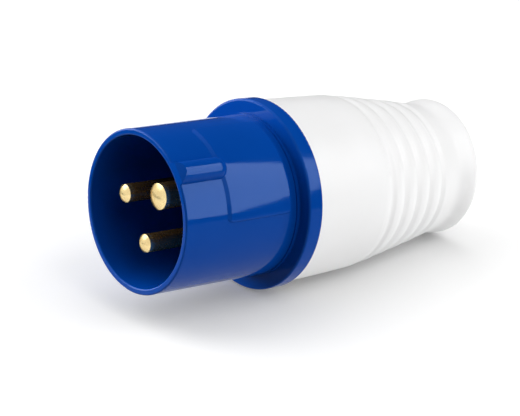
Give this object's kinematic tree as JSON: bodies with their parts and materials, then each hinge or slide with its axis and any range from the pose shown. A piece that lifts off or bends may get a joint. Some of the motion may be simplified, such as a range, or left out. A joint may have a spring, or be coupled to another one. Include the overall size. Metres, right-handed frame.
{
  "type": "industrial pin and sleeve plug",
  "caption": "Round power plug with a keyed shroud around contact pins, a flange and a ribbed rear housing that twists off on a bayonet.",
  "frame": {"origin": "middle of the tail's end face, which the plug stands on", "axes": "+Z along the plug's axis towards the pins, -Y towards the key and the earth pin"},
  "size_m": [0.0524, 0.0524, 0.108],
  "materials": {
    "blue_plastic": "glossy moulded",
    "white_plastic": "satin moulded",
    "brass": "turned and polished",
    "black_plastic": "moulded",
    "steel": "zinc plated",
    "rubber": "matt"
  },
  "bodies": {
    "rear": {"rear_housing": "white_plastic", "cable_grommet": "rubber"},
    "front": {"front_shroud": "blue_plastic", "pin_carrier": "blue_plastic", "earth_pin": "brass", "line_pin": "brass", "neutral_pin": "brass", "pin_retainer": "black_plastic", "cord_cradle": "black_plastic", "cord_clamp_bar": "black_plastic", "earth_terminal_screw": "steel", "line_terminal_screw": "steel", "neutral_terminal_screw": "steel", "right_retainer_screw": "steel", "left_retainer_screw": "steel", "right_clamp_screw": "steel", "left_clamp_screw": "steel", "right_clamp_nut": "steel", "left_clamp_nut": "steel", "housing_seal": "rubber"}
  },
  "joints": [
    {"name": "bayonet_twist", "type": "hinge", "parent": "rear", "child": "front", "pos_m": [0, 0, 0.0656], "axis": [0, 0, 1], "range_deg": [0, 60]}
  ]
}
